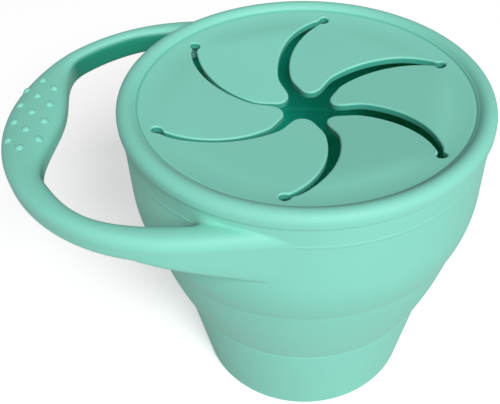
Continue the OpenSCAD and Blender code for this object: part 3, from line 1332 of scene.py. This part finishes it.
    def top_height(self, plan: np.ndarray, k: int) -> np.ndarray:
        """Height of sector k's top, without its rounded edge.

        Args:
            plan: plan points in millimetres.
            k: number of the flap, from 0.

        Returns:
            The height of each point: dished, filleted into the rim, and hung by the
            droop beyond the fold line.
        """
        r = np.hypot(plan[:, 0], plan[:, 1])
        run = np.maximum(0, (r - self.dish_from) / (self.groove_r - self.dish_from))
        sheet = self.membrane_h + self.dish * run ** 2
        face = self.rim_face(r)
        overlap = np.maximum(self.groove_blend - np.abs(sheet - face), 0) / self.groove_blend
        still = np.maximum(sheet, face) + overlap ** 2 * self.groove_blend / 4
        sunk = self.skin_sunk * smooth((r - self.groove_rings[-2]) / self.skin_run)
        line = (r - self.groove_r + self.groove_set) / self.groove_half
        sunk = sunk + self.groove_dip * np.exp(-(line ** 2))
        start, _, inward = self.fold_line(k)
        across = (plan - np.array(start[:])) @ np.array(inward[:])
        ramp = np.clip((across + self.bend) / (2 * self.bend), 0, None)
        hung = np.where(ramp < 1, self.bend * ramp ** 2, across)
        return still - sunk - math.tan(math.radians(self.droop[k])) * hung

    def build_sector(self, k: int) -> None:
        """Builds sector k with rounded slit edges, hung by its droop.

        Args:
            k: number of the flap, from 0.
        """
        plan, triangles, rim, distance, outward = self.sector_plan(k)
        top = self.top_height(plan, k)
        probe = 0.01
        slope = [
            (self.top_height(plan + step, k) - self.top_height(plan - step, k)) / (2 * probe)
            for step in (np.array([probe, 0]), np.array([0, probe]))
        ]
        up = np.column_stack([-slope[0], -slope[1], np.ones(len(plan))])
        up /= np.linalg.norm(up, axis=1)[:, None]
        lean = np.clip(1 - distance / self.edge_round, 0, 1)[:, None]
        rise = np.sqrt(1 - lean ** 2)
        flat = np.column_stack([outward, np.zeros(len(plan))])
        cut = self.edge_round * (1 - rise[:, 0])
        upper = np.column_stack([plan, top - cut])
        lower = np.column_stack([plan, top - self.flap_t + cut])
        count = len(plan)
        faces = [list(t) for t in triangles]
        faces += [[n + count for n in t[::-1]] for t in triangles]
        faces += [[b, a, a + count, b + count] for a, b in zip(rim, rim[1:])]
        shape = self.maker.piece(
            f"flap_skin_{k + 1}",
            np.concatenate([upper, lower]),
            faces,
            Slot.LID,
            [f"flap_{k + 1}", "lid_membrane"],
            normals=np.concatenate([lean * flat + rise * up, lean * flat - rise * up]),
        )
        fold_a, fold_b, inward = self.fold_line(k)
        middle = (fold_a + fold_b) / 2
        reach = 3.0
        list((middle - inward * reach) * MM)
        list((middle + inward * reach) * MM)
        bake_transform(shape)

    def build(self) -> None:
        """Builds the rim and the six sectors."""
        self.build_rim()
        for k in range(self.flaps):
            self.build_sector(k)


def polar(r: float, angle: float) -> Vector:
    """Plan point at a distance and an angle in radians."""
    return Vector((r * math.cos(angle), r * math.sin(angle)))


def evenly(points: Sequence[Vector], gap: float) -> list[Vector]:
    """Spaces points evenly along a line.

    Args:
        points: the line's points in order.
        gap: about how far apart the new points are.

    Returns:
        The new points, with the line's two ends.
    """
    line = rows_of(points)
    steps = np.hypot(*np.diff(line, axis=0).T)
    run = np.concatenate([[0], np.cumsum(steps)])
    count = max(2, round(run[-1] / gap))
    marks = np.linspace(0, run[-1], count + 1)
    return [Vector((np.interp(m, run, line[:, 0]), np.interp(m, run, line[:, 1]))) for m in marks]


def eased(points: list[Vector], rounds: int) -> list[Vector]:
    """Eases the corners of a line by averaging.

    Args:
        points: the line's points in order.
        rounds: how often each point moves towards its neighbours.

    Returns:
        The moved points, with the line's two ends where they were.
    """
    for _ in range(rounds):
        inner = [(a + 2 * b + c) / 4 for a, b, c in zip(points, points[1:], points[2:])]
        points = points[:1] + inner + points[-1:]
    return points


def edge_distance(points: np.ndarray, line: np.ndarray) -> tuple[np.ndarray, np.ndarray]:
    """Distance of points from a line of straight pieces.

    Args:
        points: plan points.
        line: the line's points in order, with the material on its right.

    Returns:
        Each point's distance from the line, and the line's direction out of the
        material at the nearest place.
    """
    along = np.gradient(line, axis=0)
    normal = np.column_stack([-along[:, 1], along[:, 0]])
    normal /= np.linalg.norm(normal, axis=1)[:, None]
    best = np.full(len(points), np.inf)
    outward = np.zeros_like(points)
    for i in range(len(line) - 1):
        step = line[i + 1] - line[i]
        t = np.clip(((points - line[i]) @ step) / max(step @ step, NEARLY_ZERO ** 2), 0, 1)[:, None]
        gap = ((points - line[i] - t * step) ** 2).sum(axis=1)
        nearer = gap < best
        best = np.where(nearer, gap, best)
        here = (1 - t) * normal[i] + t * normal[i + 1]
        outward = np.where(nearer[:, None], here, outward)
    outward /= np.maximum(np.linalg.norm(outward, axis=1), NEARLY_ZERO)[:, None]
    return np.sqrt(best), outward


def inside_loop(points: np.ndarray, loop: np.ndarray) -> np.ndarray:
    """Tells which points lie inside a closed loop.

    Args:
        points: plan points.
        loop: the loop's points in order.

    Returns:
        Whether each point lies inside.
    """
    result = np.zeros(len(points), bool)
    for (x0, y0), (x1, y1) in zip(loop, np.roll(loop, -1, axis=0)):
        if y0 == y1:
            continue
        spans = (points[:, 1] > min(y0, y1)) & (points[:, 1] <= max(y0, y1))
        cut = x0 + (points[:, 1] - y0) * (x1 - x0) / (y1 - y0)
        result ^= spans & (points[:, 0] < cut)
    return result


# The studio: floor, surroundings, lamp and camera.


@dataclass
class Studio:
    """Pale floor, soft lamp and the camera that took the picture.

    The camera's place is in millimetres, and the lamp's and the floor's sizes are in metres.
    """

    place: Place = (-5.73, -149.18, 187.0)
    look: Place = (0.0284, 0.7386, -0.6735)
    roll: float = 0.89
    lens: float = 53.68
    sensor: float = 36.0
    shift: float = -0.1112
    nearest: float = 0.01
    floor_half: float = 3.0
    floor_bounce: float = 0.62
    floor_lift: float = 0.36
    fill: float = 0.14
    key_place: Place = (0.643, -1.767, 1.74)
    key_aim: Place = (0.0, 0.0, 0.05)
    key_size: float = 1.3
    key_power: float = 61.0

    def build_camera(self) -> None:
        """Sets the camera at the photograph's viewpoint."""
        data = bpy.data.cameras.new("studio_camera")
        data.lens = self.lens
        data.sensor_width = self.sensor
        data.shift_x = self.shift
        data.clip_start = self.nearest
        camera = placed("studio_camera", data)
        forward = Vector(self.look).normalized()
        right = forward.cross(Vector((0, 0, 1))).normalized()
        up = right.cross(forward)
        angle = math.radians(self.roll)
        right_turned = right * math.cos(angle) + up * math.sin(angle)
        up_turned = right_turned.cross(forward)
        turn = Matrix((right_turned, up_turned, -forward)).transposed()
        camera.matrix_world = Matrix.Translation(Vector(self.place) * MM) @ turn.to_4x4()
        bpy.context.scene.camera = camera

    def build_lamp(self) -> None:
        """Hangs one large soft lamp in front of the cup and aims it there."""
        data = bpy.data.lights.new("key_lamp", "AREA")
        data.size = self.key_size
        data.energy = self.key_power
        lamp = placed("key_lamp", data)
        lamp.location = self.key_place
        aim = Vector(self.key_aim) - Vector(self.key_place)
        lamp.rotation_mode = "QUATERNION"
        lamp.rotation_quaternion = aim.to_track_quat("-Z", "Y")

    def build_floor(self) -> None:
        """Lays a pale floor that keeps the cup's shadow and looks white."""
        mesh = bpy.data.meshes.new("floor")
        s = self.floor_half
        mesh.from_pydata([(-s, -s, 0), (s, -s, 0), (s, s, 0), (-s, s, 0)], [], [(0, 1, 2, 3)])
        floor = placed("floor", mesh)
        graph = Graph(bpy.data.materials.new("pale_floor"))
        grey = (*(self.floor_bounce,) * 3, 1.0)
        matte = graph.node("ShaderNodeBsdfDiffuse", {"Color": grey})
        white = graph.node("ShaderNodeBsdfDiffuse", {"Color": WHITE})
        lift = graph.node("ShaderNodeEmission", {"Color": WHITE, "Strength": self.floor_lift})
        both = graph.node("ShaderNodeAddShader", {0: white.outputs[0], 1: lift.outputs[0]})
        seen = graph.seen_as(eye=both, light=matte)
        graph.node("ShaderNodeOutputMaterial", {"Surface": seen})
        mesh.materials.append(graph.owner)

    def build_world(self) -> None:
        """Sets white surroundings to the eye and the level of the fill light."""
        graph = Graph(bpy.data.worlds.new("studio_world"))
        bpy.context.scene.world = graph.owner
        fill, white = (
            graph.node("ShaderNodeBackground", {"Color": WHITE, "Strength": strength})
            for strength in (self.fill, 1.0)
        )
        seen = graph.seen_as(eye=white, light=fill)
        graph.node("ShaderNodeOutputWorld", {"Surface": seen})

    def build(self) -> None:
        """Builds floor, surroundings, lamp and camera."""
        self.build_floor()
        self.build_world()
        self.build_lamp()
        self.build_camera()
        bpy.context.scene.view_settings.view_transform = "Standard"


def main() -> None:
    """Builds the cup in order and reports each piece."""
    logging.basicConfig(level=logging.INFO, format="%(message)s")
    # The handle and the lid get their own, darker colours of painted shade.
    arms = Silicone("handle_silicone", painted_shade_colour=(0.012, 0.27, 0.18), shade=PaintedShade.ARMS)
    lid = Silicone("lid_silicone", painted_shade_colour=(0.06, 0.44, 0.33), shade=PaintedShade.SLITS)
    finishes = {
        Slot.BASE: Silicone("base_silicone").material(),
        Slot.WEB: Silicone("web_silicone").material(),
        Slot.BOWL: Silicone("bowl_silicone").material(),
        Slot.HANDLE: arms.material(),
        Slot.LID: lid.material(),
    }
    maker = Maker(finishes)
    shell = CupShell(maker)
    shell.build_base()
    shell.build_web()
    shell.build_bowl()
    LoopHandle(maker, shell).build()
    SwirlLid(maker, shell).build()
    Studio().build()
    LOG.info("%d pieces", len(maker.made))


if __name__ == "__main__":
    main()
